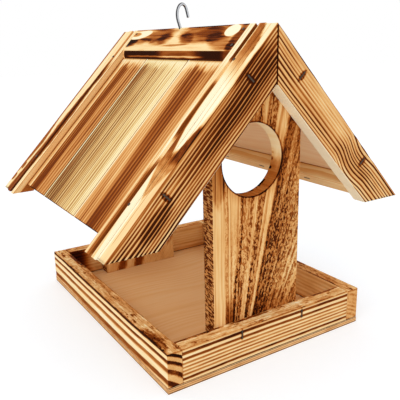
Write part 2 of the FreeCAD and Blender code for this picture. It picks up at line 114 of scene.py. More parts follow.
# %% A number on a surface
class Field:
    """A number that varies over a surface, as the output of a node."""

    def __init__(self, finish, socket):
        self.finish = finish
        self.socket = socket

    def math(self, operation, *values):
        return self.finish.node("ShaderNodeMath", {"operation": operation}, dict(enumerate(values)))

    def __add__(self, other):
        return self.math("ADD", self, other)

    def __sub__(self, other):
        return self.math("SUBTRACT", self, other)

    def __rsub__(self, other):
        return self.math("SUBTRACT", other, self)

    def __mul__(self, other):
        return self.math("MULTIPLY", self, other)

    def __truediv__(self, other):
        return self.math("DIVIDE", self, other)

    def __rtruediv__(self, other):
        return self.math("DIVIDE", other, self)

    __radd__ = __add__
    __rmul__ = __mul__

    def sqrt(self):
        return self.math("SQRT", self)

    def sin(self):
        return self.math("SINE", self)

    def part(self):
        return self.math("FRACT", self)

    def whole(self):
        return self.math("FLOOR", self)

    def size(self):
        return self.math("ABSOLUTE", self)

    def least(self, other):
        return self.math("MINIMUM", self, other)

    def most(self, other):
        return self.math("MAXIMUM", self, other)

    def step(self, low, high):
        """0 below low, 1 above high, and a smooth rise between; it falls where high is below low."""
        if high < low:
            return 1 - self.step(high, low)
        return self.finish.node("ShaderNodeMapRange", {"interpolation_type": "SMOOTHSTEP"},
                                {"Value": self, "From Min": low, "From Max": high}, "Result")

    def past(self, start):
        """How far it is above start, and 0 below."""
        return (self - start).most(0.0)

    def band(self, low, high, soft):
        """1 between low and high, with an edge that is soft wide, and 0 elsewhere."""
        return self.step(low - soft, low + soft) * self.step(high + soft, high - soft)


# %% A material and its nodes
class Finish:
    """A material while its nodes are being laid."""

    def __init__(self, name):
        self.material = bpy.data.materials.new(name)
        self.material.use_nodes = True
        self.tree = self.material.node_tree
        self.shader = self.tree.nodes["Principled BSDF"]
        place = self.tree.nodes.new("ShaderNodeTexCoord")
        self.place = self.vector("SCALE", place.outputs["Object"], Scale=1 / MM)

    def plug(self, socket, value):
        if isinstance(value, Field):
            value = value.socket
        if isinstance(value, bpy.types.NodeSocket):
            self.tree.links.new(value, socket)
        else:
            socket.default_value = value

    def node(self, kind, settings, sockets, out=0):
        """Adds a node: its settings first, then its sockets' values or links; gives one output."""
        node = self.tree.nodes.new(kind)
        for key, value in settings.items():
            setattr(node, key, value)
        for key, value in sockets.items():
            self.plug(node.inputs[key], value)
        return Field(self, node.outputs[out])

    def vector(self, operation, *values, **sockets):
        out = "Value" if operation in ("DOT_PRODUCT", "LENGTH") else "Vector"
        sockets = {**dict(enumerate(values)), **sockets}
        return self.node("ShaderNodeVectorMath", {"operation": operation}, sockets, out)

    def point(self, x, y, z):
        return self.node("ShaderNodeCombineXYZ", {}, {0: x, 1: y, 2: z})

    def noise(self, point, detail=2.0, rough=0.5, warp=0.0):
        """A smooth random number from 0 to 1 with its middle at one half."""
        return self.node("ShaderNodeTexNoise", {}, {
            "Vector": point, "Scale": 1.0, "Detail": detail, "Roughness": rough, "Distortion": warp})

    def wild(self, x, y, z, detail=2.0, rough=0.5, warp=0.0, gain=3):
        """A random number about 0, which seldom leaves -1 to 1 at the usual gain."""
        return (self.noise(self.point(x, y, z), detail, rough, warp) - 0.5) * gain

    def kept(self):
        """The number kept on the points of a made mesh."""
        return self.node("ShaderNodeAttribute", {"attribute_name": "ring"}, {}, "Fac")

    def ramp(self, value, stops):
        """A colour from a scale, whose stops are a place from 0 to 1 and a colour as a screen shows it."""
        node = self.tree.nodes.new("ShaderNodeValToRGB")
        keys = node.color_ramp.elements
        while len(keys) < len(stops):
            keys.new(1.0)
        for key, (place, *colour) in zip(keys, stops):
            key.position = place
            key.color = (*paint(*colour), 1)
        self.plug(node.inputs[0], value)
        return Field(self, node.outputs[0])

    def blend(self, share, first, second):
        """The first colour where share is 0 and the second where it is 1."""
        return self.node("ShaderNodeMix", {"data_type": "RGBA"}, {0: share, 6: first, 7: second}, 2)

    def bump(self, height, depth):
        """Relief: height from 0 to 1 stands for a depth in millimetres."""
        return self.node("ShaderNodeBump", {}, {"Height": height, "Distance": depth * MM, "Strength": 1.0})

    def finish(self, colour, rough, normal):
        for name, value in (("Base Color", colour), ("Roughness", rough), ("Normal", normal)):
            self.plug(self.shader.inputs[name], value)
        return self.material


# %% [markdown]
# ## One scale of brown
#
# The torch turns cream spruce to straw, honey, tan, brown and at last char. Most boards share this one scale.
# A board's own pattern then only has to say how toasted each spot is, as one number from 0 to 1.

# %% The toast scale
def paint(*colour):
    """A colour as a screen shows it, made linear for the shader."""
    parts = (value / 255 for value in colour)
    return tuple(part / 12.92 if part <= 0.04045 else ((part + 0.055) / 1.055) ** 2.4 for part in parts)


TOAST = [
    (0.00, 254, 243, 212),
    (0.12, 249, 222, 168),
    (0.28, 232, 180, 114),
    (0.42, 206, 139, 74),
    (0.56, 172, 97, 38),
    (0.70, 130, 60, 14),
    (0.84, 80, 30, 5),
    (1.00, 34, 12, 3),
]
print("toast scale of", len(TOAST), "browns")

# %% [markdown]
# ## Growth rings in space
#
# A plank is a slice out of a log, so its lines are rings round the log's heart seen on a cut. Each board gets
# three directions, along, across and through its thickness, and the place of its heart. The distance from the
# heart, counted in rings, then draws straight lines on one face, wide arches on another and arcs at the ends.

# %% A board's own directions
ROOF_ANGLE = math.radians(46.4)
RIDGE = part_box("rake_front_left")[1][2] / MM
ALONG_X, ALONG_Y, ALONG_Z = (1, 0, 0), (0, 1, 0), (0, 0, 1)


def down_slope(side):
    """Direction down a roof slope; side is -1 on the left and 1 on the right."""
    return side * math.cos(ROOF_ANGLE), 0, -math.sin(ROOF_ANGLE)


def into_slope(side):
    """Direction through a roof slope, from the outside in."""
    return -side * math.sin(ROOF_ANGLE), 0, -math.cos(ROOF_ANGLE)


APEX = (0, 0, RIDGE)
print("ridge at", round(RIDGE, 1), "mm")


# %% The wood itself
class Wood(Finish):
    """A board's finish. s, u and v are millimetres along the grain, across the board and through it."""

    def __init__(self, name, origin, along, across, through, seed):
        super().__init__(name + "_wood")
        self.seed = seed
        self.s, self.u, self.v = (self.measure(origin, way) for way in (along, across, through))

    def measure(self, origin, way):
        """Distance from the origin in one direction."""
        dot = self.vector("DOT_PRODUCT", self.place, tuple(float(part) for part in way))
        return dot - float(np.dot(way, origin))

    def drift(self, length, amount, step=0.0):
        """A slow wander along the board, amount each way, over the given length."""
        across = self.u / (2.5 * length) + self.seed * 7.3 + step
        return self.wild(self.s / length, across, self.seed * 3.1, 1.0, gain=3 * amount)

    def rings(self, heart, width, sway=1.5, reach=90.0, uneven=0.35):
        """Distance from the heart in ring widths; the rings sway along the board and vary in width."""
        du = self.u - heart[0] + self.drift(reach, sway)
        dv = self.v - heart[1] + self.drift(reach * 1.4, sway * 0.6, 5.0)
        far = (du * du + dv * dv).sqrt() / width
        return far + (far * 0.9 + self.seed).sin() * uneven

    def lines(self, rings, dark, sharp=0.1, soft=0.2, ragged=0.07):
        """The dark part of each ring: it comes in softly, ends sharply, and differs from year to year."""
        turn = (rings + self.fibre(1.4, 14.0, 2.0) * ragged).part()
        line = turn.step(1 - dark - soft, 1 - dark) * turn.step(1.0, 1 - sharp)
        year = self.node("ShaderNodeTexWhiteNoise", {"noise_dimensions": "1D"},
                         {"W": rings.whole() + self.seed})
        return line * (year * 0.70 + 0.46)

    def fibre(self, fine, length=40.0, detail=3.0):
        """Fine streaks along the grain, from -1 to 1."""
        across = self.u * fine + self.seed * 11.7
        return self.wild(self.s / length, across, self.v * fine, detail, 0.6, gain=3.2)

    def cloud(self, length, width, detail=2.0, step=0.0):
        """Soft scorched clouds longer than wide, from -1 to 1."""
        along = self.s / length + self.seed * 5.1 + step
        return self.wild(along, self.u / width, self.v / width + step, detail, warp=0.4, gain=3.2)

    def lens(self, s, u, half_length, half_width):
        """1 inside an oval spot of the board, 0 outside, with a slightly ragged rim."""
        a = (self.s - s) / half_length
        b = (self.u - u) / half_width
        ragged = self.cloud(half_length * 0.5, half_width * 0.5, step=s * 0.13) * 0.5
        return (1 - a * a - b * b + ragged).step(-0.5, 0.5)

    def toasted(self, toast, relief, depth, rough=0.62, scale=TOAST):
        colour = self.ramp(toast, scale)
        shine = rough + (relief - 0.5) * 0.12
        self.shader.inputs["Specular IOR Level"].default_value = 0.02
        return self.finish(colour, shine, self.bump(relief, depth))


def dress(material, *names):
    """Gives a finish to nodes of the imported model."""
    for name in names:
        for slot in nodes[name].material_slots:
            slot.material = material


def switch(share, first, second):
    """The first number where share is 0 and the second where it is 1."""
    return first + (second - first) * share


LEFT, RIGHT = -1, 1
FRONT, REAR = -1, 1
SIDES = {"left": LEFT, "right": RIGHT}
ENDS = {"front": FRONT, "rear": REAR}
HALF_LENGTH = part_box("rake_rear_left")[1][1] / MM

# %% [markdown]
# ## Brushed boards as real relief
#
# After the torch a wire brush took out the soft part of every ring, so a board's face is ribbed, and a saw
# cut across it ends in small steps. Bump alone would leave its outline straight. So each board of the trim
# and of the tray is made again as a fine shell: a block's surface points, pushed in along its rings. The
# ring number of each point is kept on the mesh, so that the colour follows the same ribs.

# %% Formulas for arrays
def smooth(value, low, high):
    """Smoothstep: 0 below low, 1 above high, and 3t^2 - 2t^3 between, t being the share of the way."""
    t = np.clip((value - low) / (high - low), 0, 1)
    return t * t * (3 - 2 * t)


def sway(s, reach, seed):
    """A slow wander within -1 and 1: the sum of three sines of s, whose periods are near reach."""
    turn = 2 * math.pi * s / reach
    return (0.5 * np.sin(turn + seed) + 0.3 * np.sin(0.57 * turn + 2.1 * seed)
            + 0.2 * np.sin(1.9 * turn + 3.7 * seed))


def ring_count(s, u, v, heart, width, wander, reach, uneven, seed, bend=0.0):
    """Rings from the heart: the distance from its line over the ring width, and a sine for uneven years."""
    du = u - heart[0] + wander * sway(s, reach, seed) + bend
    dv = v - heart[1] + 0.6 * wander * sway(s, 1.4 * reach, seed + 2)
    far = np.sqrt(du * du + dv * dv) / width
    return far + uneven * np.sin(0.9 * far + seed)


def spaced(length, step, edge):
    """Grid lines along one side: even steps between, and three closer lines at each rounded edge."""
    inner = np.linspace(edge, length - edge, max(2, round((length - 2 * edge) / step)) + 1)
    return np.concatenate([[0, 0.35 * edge], inner, [length - 0.35 * edge, length]])


def shell(sides):
    """Surface points of a block of grid cells, as rows of grid numbers, and its faces, as rows of four."""
    size = [len(side) for side in sides]
    outer = np.zeros(size, bool)
    for axis in range(3):
        for end in (0, -1):
            np.moveaxis(outer, axis, 0)[end] = True
    number = np.full(size, -1)
    number[outer] = np.arange(outer.sum())
    faces = []
    for axis in range(3):
        for end in (0, -1):
            sheet = np.take(number, end, axis)
            quads = [sheet[:-1, :-1], sheet[1:, :-1], sheet[1:, 1:], sheet[:-1, 1:]]
            quads = np.stack(quads, -1).reshape(-1, 4)
            outward = (end == -1) != (axis == 1)
            faces.append(quads if outward else quads[:, ::-1])
    return np.argwhere(outer), np.concatenate(faces)


# %% A mesh from arrays
def make_piece(name, points, quads, ring, material, node):
    """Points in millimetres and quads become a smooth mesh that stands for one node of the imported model.

    ring is one number per point, kept on the mesh for the finish.
    """
    mesh = bpy.data.meshes.new(name)
    mesh.from_pydata((points * MM).tolist(), [], quads.tolist())
    mesh.polygons.foreach_set("use_smooth", np.ones(len(quads), bool))
    mesh.attributes.new("ring", "FLOAT", "POINT").data.foreach_set("value", ring.astype(np.float32))
    mesh.materials.append(material)
    piece = add(name, mesh)
    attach(piece, "root")
    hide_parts(node)
    print(name, len(points), "points,", len(quads), "faces")


# %% A brushed board
EDGE, GROOVE = 0.9, 0.45
GRID = 4.5, 0.55, 0.9


def brushed_board(node, material, origin, ways, low, size, count, dark, head=0.0, foot=0.0,
                  torn=0.0):
    """A block from low to low + size in three directions, with rounded edges and pushed-in rings.

    Its ends may slope: the first runs on by head, and the last falls back by foot, per millimetre across. A
    point is held back to EDGE from every side and pushed out again by EDGE, which rounds the edges. It then
    goes in along the same direction by up to GROOVE, as the dark share of its ring says. At the last end each
    ring is also cut short by its own random part of torn. GRID gives the steps of the mesh in the three ways.
    """
    sides = [spaced(length, step, EDGE) for length, step in zip(size, GRID)]
    steps, quads = shell(sides)
    s, u, v = (side[column] for side, column in zip(sides, steps.T))
    first = head * u
    whole = size[0] - foot * u - first
    block = np.stack([s / size[0] * whole, u, v], -1)
    limit = np.stack([whole, np.full_like(u, size[1]), np.full_like(u, size[2])], -1)
    inner = np.clip(block, EDGE, limit - EDGE)
    out = block - inner
    out /= np.linalg.norm(out, axis=1, keepdims=True)
    place = inner + out * EDGE + np.array(low)
    place[:, 0] += first
    ring = count(*place.T)
    turn = np.mod(ring, 1)
    line = smooth(turn, 0.8 - dark, 1 - dark) * (1 - smooth(turn, 0.88, 1.0))
    strength = 0.6 + 0.4 * sway(place[:, 0], 60, ring[0])
    place -= out * (GROOVE * line * strength * (1 - np.abs(out[:, 0])))[:, None]
    luck = np.mod(np.sin(np.floor(ring) * 78.233) * 43758.5453, 1)
    place[:, 0] -= np.clip(out[:, 0], 0, 1) * torn * (0.7 * luck + 0.3 * line)
    points = np.array(origin) + place @ np.array(ways, float)
    if np.linalg.det(np.array(ways, float)) < 0:
        quads = quads[:, ::-1]
    make_piece("brushed_" + node, points, quads, ring, material, node)


# %% [markdown]
# ## Gable trim
#
# The four rake boards are cut so that about ten rings cross their face as straight lines from end to end.
# Brushing left the lines as grooves. The heart lies far off to one side, and the toast is deepest in the
# middle of the near left board, while the right board is lighter and its lines swing round a hidden knot.

# %% The top of the trim, shared by rake board and lath
def oval(along, across, soft=0.35, ragged=0.0):
    """1 where two numbers lie inside a circle of radius 1, and 0 outside."""
    return (1 - along * along - across * across + ragged).step(-soft, soft)


def near_trim(wood, run, inset):
    """Toast of the near roof edge from above; inset is the distance from the gable's face.

    From the ridge down: an orange burn, a white lens, a second burn with a charred arris, and a white strip.
    Each is bounded by straight rims, given as insets that change with the run down the slope.
    """
    fine = wood.wild(run / 60, inset * 0.55, wood.seed, 3.0, 0.6)
    mottle = wood.wild(run / 8, inset / 4, wood.seed + 4, 3.0, 0.65)
    toast = 0.17 - run.step(66, 44) * 0.10 - inset.step(36, 38) * run.step(130, 90) * 0.05 + fine * 0.08
    burn = (inset - 9 - (24 - run).most(0.0) * 0.4 + mottle * 2).step(-1.5, 2.5)
    burn = burn * (28.5 - inset + mottle).step(-0.5, 3) * run.step(78, 58)
    toast = switch(burn, toast, 0.28 + run.step(60, 26) * 0.28 + mottle * 0.10 + fine * 0.09)
    inner_rim = 28 - run.past(100) * 0.08 - run.past(135) * 0.19
    outer_rim = 3.2 + run.past(112) * 0.20
    lens = (inset - outer_rim + mottle).step(-1.2, 1.6) * (inner_rim - inset).step(-0.8, 1.2)
    lens *= (run - (28 - inset) * 0.7 + mottle * 4).step(42, 74)
    toast = switch(lens, toast, 0.01 + fine.size() * 0.02)
    beside = (inset - inner_rim).step(0.2, 1.6) * run.band(82, 172, 10) * inset.step(38, 36)
    toast = switch(beside, toast, 0.42 + run.band(118, 168, 8) * 0.22 + fine * 0.08)
    low_inner = 29 - run.past(176) * 0.33
    low_outer = 1 + run.past(180) * 0.36
    second = (inset - low_outer).step(-1, 1.5) * (low_inner - inset).step(-1, 1.5)
    second *= (run + mottle * 5).step(156, 168)
    fade = run.past(168) * 0.010
    toast = switch(second, toast, (0.56 - fade).most(0.37) + mottle * 0.16)
    char = run.band(130, 172, 5) * (inset + mottle * 1.5 - outer_rim).step(1, -2)
    toast = switch(char, toast, 0.75 + mottle * 0.14)
    strip_inner = 42 - run.past(125) * 0.115
    strip_outer = 37.5 - run.past(130) * 0.17 - run.past(180) * 0.18
    strip = (inset - strip_outer.most(14.0)).step(-0.8, 1.0) * (strip_inner - inset).step(-0.8, 1.0)
    strip *= run.step(92, 110)
    toast = switch(strip, toast, 0.02 + fine.size() * 0.03)
    arris = (inset + mottle * 0.7).step(3.2, 0.8)
    toast += arris * (run.band(36, 72, 8) * 0.45 + run.band(118, 150, 10) * 0.3)
    toast += inset.step(1.3, 0.3) * 0.40
    return toast + inset.band(10.3, 11.0, 0.35) * run.step(272, 262) * 0.32


def far_trim(wood, run, inset):
    """Toast of the far roof edge from above: cream with a brown seam, and burnt along its outer edge."""
    fine = wood.wild(run / 70, inset * 0.5, wood.seed, 3.0, 0.6)
    ragged = wood.wild(run / 9, inset / 3, wood.seed + 4)
    toast = 0.10 + fine * 0.09 + inset.step(2.2, 0.8) * 0.30
    edge = (inset + ragged).step(6.0, 3.5) * run.step(200, 170)
    patch = (inset + ragged * 1.2 + (run - 205).size() * 0.22).step(16.0, 13.0)
    spots = oval((run - 246) / 6, (inset - 8) / 3.4) + oval((run - 266) / 6, (inset - 4) / 4)
    toast = switch((edge + patch + spots).least(1.0), toast, 0.60 + ragged * 0.10)
    middle = 31 + (110 - run).most(0.0) * 0.18 - run.past(200) * 0.12
    half = 4 + run.step(60, 170) * 7 + ragged * 1.6
    seam = (half - (inset - middle).size()).step(-1.5, 3.0) * run.step(50, 85)
    toast = switch(seam, toast, 0.64 + fine * 0.18 + ragged * 0.06)
    return toast + inset.band(15.5, 17.5, 0.7) * 0.10


TRIM_TOPS = {"front": near_trim, "rear": far_trim}


# %% Rake boards
RAKE_WIDTH, RAKE_THICKNESS, RAKE_FOOT = 41.0, 18.0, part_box("rake_front_left")[0][2] / MM
RAKE_STAPLES = ((61.0, 12.0), (203.0, 12.0))
RAKE_TORN = 2.6


def rake_board(side_name, end_name, ring, heart, burn, pale, seed, dark=0.5, gain=0.45, swirl=0.0):
    """A trim board. burn says how deep its middle is charred, pale how toasted it is between the lines."""
    side, end = SIDES[side_name], ENDS[end_name]
    name = f"rake_{end_name}_{side_name}"
    ways = down_slope(side), into_slope(side), ALONG_Y
    wood = Wood(name, APEX, *ways, seed)
    run, depth = wood.s, wood.u
    inset = HALF_LENGTH - wood.v * end
    rings = wood.kept()
    thin = wood.lines(rings, dark=dark, soft=0.24, ragged=0.05)
    wide = wood.lines(rings, dark=min(dark + 0.22, 0.75), sharp=0.08, soft=0.10, ragged=0.03)
    drift = wood.cloud(60, 14, step=4.0)
    core = run.step(4, 40) * (run + drift * 25).step(205, 105) * (depth + drift * 3).band(6, 31, 7)
    core += oval((run - 228) / 24, (depth - 20) / 9, 0.6, drift * 0.5) * 0.8
    core = core.least(1.0) * burn
    face = pale + wood.cloud(90, 9) * 0.06 + wood.fibre(0.55, 60) * 0.08 + core * 0.17
    years = 1 + wood.cloud(70, 8, step=9.0) * 0.7
    face += switch(core, thin * years * gain, wide * (gain + 0.14))
    face += thin * (run + drift * 20).step(165, 235) * 0.20
    face -= (depth - 33).step(0, 5) * run.step(140, 200) * 0.06
    face += (depth + drift).step(6.0, 2.5) * run.band(26, 78, 12) * 0.30 * burn
    if swirl:
        knot = oval((run - 190) / 34, (depth - 21) / 13, 0.7, drift * 0.4)
        face += knot * (0.08 + thin * 0.26)
        face -= oval((run - 112) / 70, (depth - 11) / 10, 0.8, drift * 0.5) * (0.04 + thin * 0.34)
        face += oval((run - 30) / 34, (depth - 24) / 11, 0.8, drift * 0.5) * thin * 0.30
    face = face + depth.step(1.8, 0.3) * 0.45 + depth.step(RAKE_WIDTH - 1.6, RAKE_WIDTH - 0.2) * 0.25
    foot = wood.measure((0, 0, RAKE_FOOT), ALONG_Z)
    face += foot.step(5, 0.5) * (thin * 0.45 - 0.08)
    for down, deep in RAKE_STAPLES:
        face += wood.lens(down, deep, 3.4, 7.5) * 0.40
    top = TRIM_TOPS[end_name](wood, run, inset)
    toast = switch(depth.step(0.75, 0.45), face.least(0.80 + 0.13 * burn), top)
    under = depth.step(RAKE_WIDTH - 0.8, RAKE_WIDTH - 0.4)
    toast = switch(under, toast, 0.02 + wood.fibre(0.8).size() * 0.04)
    mitre = wood.measure((0, 0, 0), ALONG_X).size()
    toast += mitre.step(1.3, 0.6) * depth.step(0.8, 1.6) * 0.6
    material = wood.toasted(toast, 1 - wood.fibre(1.6, 20) * 0.5, 0.10)

    def count(s, u, v):
        bend = swirl * (smooth(s, 160, 192) - 0.5 * smooth(s, 196, 228))
        return ring_count(s, u, v, heart, ring, wander=0.8, reach=150, uneven=0.25, seed=seed, bend=bend)

    low_v = HALF_LENGTH - RAKE_THICKNESS if end > 0 else -HALF_LENGTH
    tangent = math.tan(ROOF_ANGLE)
    longest = (RIDGE - RAKE_FOOT) / math.sin(ROOF_ANGLE)
    size = longest, RAKE_WIDTH, RAKE_THICKNESS
    brushed_board(name, material, APEX, ways, (0, 0, low_v), size, count, dark,
                  head=tangent, foot=1 / tangent, torn=RAKE_TORN)


rake_board("left", "front", 3.75, (-70, -160), 1.0, 0.30, 1.0, gain=0.50)
rake_board("right", "front", 4.05, (-64, -170), 0.16, 0.26, 2.0, dark=0.36, gain=0.50, swirl=-6.0)
rake_board("left", "rear", 3.6, (-66, 160), 0.5, 0.26, 3.0)
rake_board("right", "rear", 3.9, (-80, 172), 0.8, 0.26, 4.0)


# %% Edge laths
LATH_EDGE = 45.0


def lath_wood(side_name, end_name, seed):
    side, end = SIDES[side_name], ENDS[end_name]
    name = f"edge_lath_{end_name}_{side_name}"
    wood = Wood(name, APEX, down_slope(side), ALONG_Y, into_slope(side), seed)
    run, depth = wood.s, wood.v
    inset = HALF_LENGTH - wood.u * end
    lines = wood.lines(wood.rings((-40 * end, 22), 2.6, sway=1.0, reach=110), dark=0.4)
    streak = wood.fibre(0.45, 70)
    toast = TRIM_TOPS[end_name](wood, run, inset) + lines * 0.05
    # The gutter is coloured dark, as painted shade in its recess. On the near edge it turns cream where the
    # pale strips cross it, and a dark spot of painted shade lies beside its top just below the ridge slat. On
    # the far edge it is lighter under the slat.
    if end_name == "front":
        groove_shade = switch(run.band(47, 76, 5), switch(run.step(80, 60), 0.66 + streak * 0.12, 0.86), 0.16)
        groove_shade = switch(run.band(146, 174, 8), groove_shade, 0.06)
        rim = inset.band(34.5, 39.5, 0.8) * run.step(176, 194) * 0.40
        toast = toast + rim + oval((run - 47) / 4, (inset - 32) / 4) * 0.5
    else:
        groove_shade = switch(run.step(45, 85), 0.36, 0.80) + streak * 0.12
    reach = 28.6 if end_name == "front" else 26.5
    toast = switch(inset.band(reach, 35.2, 0.6), toast, groove_shade)
    # The lath's inner side face. It is darker towards its foot: painted shade where it meets the planks.
    inner = depth.step(0.6, 1.2) * inset.step(LATH_EDGE - 1.0, LATH_EDGE - 0.3)
    toast = switch(inner, toast, 0.24 + streak * 0.08 + depth.step(6.0, 7.6) * 0.35)
    toast += inset.step(LATH_EDGE - 0.8, LATH_EDGE - 0.2) * depth.step(0.9, 0.4) * 0.3
    dress(wood.toasted(toast, 1 - lines * 0.5, 0.2), name)


for side_name, side in SIDES.items():
    for end_name, end in ENDS.items():
        lath_wood(side_name, end_name, 5.0 + side + 0.3 * end)

# %% [markdown]
# ## Roof planks
#
# Each slope is panelled with three boards of different trees. The far one is brown all over, the middle one
# has bold lines on its far side and fades to cream, and the near one has a broad streak and a faint one. The
# flame didn't reach in under the ridge slat, so a cream band crosses all three there.

# %% Roof planks
JOINTS = (59.0, -45.0)
PLANK_RUN = 266.0
SLAT_FOOT = 44.0
STRAW = [
    (0.00, 254, 245, 208),
    (0.15, 241, 217, 158),
    (0.30, 212, 169, 103),
    (0.45, 178, 124, 68),
    (0.62, 142, 88, 44),
    (0.80, 92, 48, 20),
    (1.00, 36, 17, 7),
]


def plank_shade(wood, y, run, number):
    """How dark the flame left each plank, before its rings are drawn."""
    broad = wood.wild(run / 300, y / 13, wood.seed + 2)
    fine = wood.wild(run / 240, y / 5.5, wood.seed + 6, rough=0.6)
    drift = wood.cloud(110, 25)
    veil = wood.wild(run / 46, y / 7, wood.seed + 9, 3.0, 0.6)
    if number == 1:
        streak = (y + drift * 4).band(93, 112, 6)
        side = (y + drift * 3).band(68, 80, 5) * run.step(230, 150)
        shade = 0.45 + broad * 0.12 + fine * 0.15 + veil * 0.07 + streak * (0.29 + fine * 0.10) + side * 0.10
        shade = shade - y.band(118, 126, 2) * 0.22 + y.band(114.5, 117, 0.8) * 0.10
        return shade + run.step(190, 262) * streak * 0.20
    if number == 2:
        lean = y + (run - 60) * 0.06
        dark = (lean + drift * 5).step(2, 48)
        olive = (lean + drift * 6).band(-20, 22, 14)
        far_part = lean.step(34, 46)
        lines = (y * 0.95 + run * 0.045).sin().step(-0.2, 0.6) * far_part
        low = (run + drift * 12).step(205, 255) * lean.step(20, 44)
        shade = 0.15 + dark * 0.36 + olive * 0.16 + broad * 0.07 + fine * 0.12 + lines * 0.46
        return shade - far_part * 0.08 + low * 0.09 + veil * 0.07
    lean = y + (run - 70) * 0.10 + drift * 4
    streak = lean.band(-92, -66, 7)
    second = lean.band(-122, -112, 5) * 0.12
    shade = 0.43 + streak * (0.25 + fine * 0.10) + second + broad * 0.10 + fine * 0.13 + veil * 0.06
    return shade - lean.band(-62, -50, 6) * 0.14 + run.step(200, 262) * lean.band(-80, -50, 12) * 0.20


def plank_wood(side_name, number, ring, heart, gain, seed, scale=TOAST):
    side = SIDES[side_name]
    name = f"roof_plank_{side_name}_{number}"
    wood = Wood(name, APEX, down_slope(side), ALONG_Y, into_slope(side), seed)
    run, y, depth = wood.s, wood.u, wood.v
    rings = wood.rings(heart, ring, sway=1.0, reach=200, uneven=0.25)
    lines = wood.lines(rings, dark=0.4, sharp=0.2, soft=0.35, ragged=0.0)
    shade = plank_shade(wood, y, run, number)
    toast = (shade + (lines - 0.35) * gain * (0.15 + shade * 1.65)).least(0.76)
    ragged = wood.wild(run / 16, y / 6, wood.seed, gain=1)
    clean = (run + ragged * 26).step(62, 46)
    toast = switch(clean * 0.9, toast, 0.05 + lines * 0.04)
    # Painted shade: darker just below the ridge slat's lower edge.
    toast += run.step(SLAT_FOOT + 3, SLAT_FOOT - 0.5) * 0.30
    toast += run.step(PLANK_RUN - 1.6, PLANK_RUN - 0.6) * 0.42
    # Painted highlight: a cream strip beside each joint and beside the near edge stands for light on the
    # eased edge. The joints and the outer edges themselves are dark lines.
    for joint in JOINTS:
        toast = switch(y.band(joint - 4.2, joint - 1.4, 0.7) * 0.9, toast, 0.02)
        toast += y.band(joint - 0.9, joint + 0.9, 0.5) * 0.62
    toast = switch(y.band(-127, -124.6, 0.6) * 0.8, toast, 0.04)
    toast = toast + y.step(-127.6, -129.4) * 0.5 + y.step(128, 129.6) * 0.35
    toast = switch(depth.step(13, 14), toast, 0.15)
    dress(wood.toasted(toast, 1 - lines * 0.6, 0.18, scale=scale), name)


for side_name in SIDES:
    extra = 0.0 if side_name == "left" else 20.0
    plank_wood(side_name, 1, 6.4, (210, 60), 0.27, 8.0 + extra)
    plank_wood(side_name, 2, 5.0, (260, 30), 0.50, 9.0 + extra, scale=STRAW)
    plank_wood(side_name, 3, 6.0, (-330, 50), 0.27, 10.0 + extra)

# %% [markdown]
# ## Ridge slats
#
# A flat strip covers the planks' top ends. The torch left two large brown clouds on it with a pale gap
# between them where the hook stands, and charred its lower edge almost black.

# %% Ridge slats
CLOUDS = (
    (126, 22, 20, 7, 0.0, 1.0),
    (98, 20, 28, 5, 0.02, 0.50),
    (56, 11, 38, 11, 0.06, 0.52),
    (31, 17, 16, 9, 0.0, 0.35),
    (44, 23, 20, 5, 0.0, 0.34),
    (-56, 10, 50, 15, 0.0, 0.50),
    (-66, 9, 26, 7, 0.05, 0.25),
    (-22, 18, 16, 8, -0.2, 0.40),
    (-98, 24, 26, 10, -0.2, 0.42),
    (-125, 18, 9, 22, 0.0, 0.62),
    (-4, 28, 30, 1.6, 0.02, 0.40),
)


def slat_wood(name, side, seed):
    """Each cloud has a place along and across the slat, its half sizes, a lean and its toast."""
    wood = Wood(name, APEX, ALONG_Y, down_slope(side), into_slope(side), seed)
    y, run, depth = wood.s, wood.u, wood.v
    curl = wood.wild(y / 34, run / 15, seed, warp=0.8)
    flame = wood.wild(y / 48, run / 5, seed + 2, 3.0, 0.6, warp=0.35)
    grain = wood.fibre(0.55, 60)
    toast = 0.14 + grain * 0.06 + flame.most(0.0) * 0.14
    shade = 0.0
    for middle, drop, length, width, lean, burn in CLOUDS:
        across = (run - drop - (y - middle) * lean) / width
        shade += oval((y - middle) / length, across, 0.75, curl * 0.3 + flame * 0.5) * (burn - 0.1)
    shade = shade.least(0.62 + run.band(14, 30, 3) * y.step(104, 116) * 0.3)
    toast += shade * (1.08 + flame * 0.24 + grain * 0.12)
    toast += run.step(2.2, 0.7) * (1 - y.band(-10, 24, 4)) * 0.35
    far = (y - 109) / 29
    toast = switch(oval(far, (run - 9 - far * 3.5) / 7, 0.14, curl * 0.1), toast, 0.03)
    toast = toast.most(oval((y - 124) / 15, (run - 8) / 4, 0.5, flame * 0.4) * 0.44)
    toast = switch(oval((y + 107) / 13, (run - 8) / 8.4, 0.12, curl * 0.08), toast, 0.015)
    drop = depth + curl * 0.5
    upper = switch(y.band(-62, 24, 16), 0.97, 0.64 + flame * 0.16)
    edge = upper - drop.band(4.6, 5.7, 0.5) * y.band(-74, 116, 9) * 0.42
    edge = switch(drop.step(6.0, 6.7), edge, 0.92)
    edge = switch(y.step(-108, -120), edge, 0.74 + flame * 0.14)
    tip = (y.past(119) / 9, (depth - 4) / 5)
    edge = switch(oval(*tip, 0.2), 0.22, edge)
    toast = switch((run + depth * 0.95).step(36.3, 37.2), toast, edge)
    dress(wood.toasted(toast, 1 - grain * 0.3, 0.12), name)


slat_wood("ridge_slat_left", LEFT, 11.0)
slat_wood("ridge_slat_right", RIGHT, 12.0)

# %% [markdown]
# ## Posts
#
# The posts are sawn from wide boards, so their rings show as a few broad streaks that fan out upward. Their
# saw marks caught the flame and turned to rows of dark pits.

# %% Posts
POST_LEFT, POST_RIGHT = (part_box("front_post")[corner][0] / MM for corner in (0, 1))
HOLE_X, HOLE_Z, HOLE_RADIUS = -16.0, 227.0, 39.5
POST_INNER = 139.5


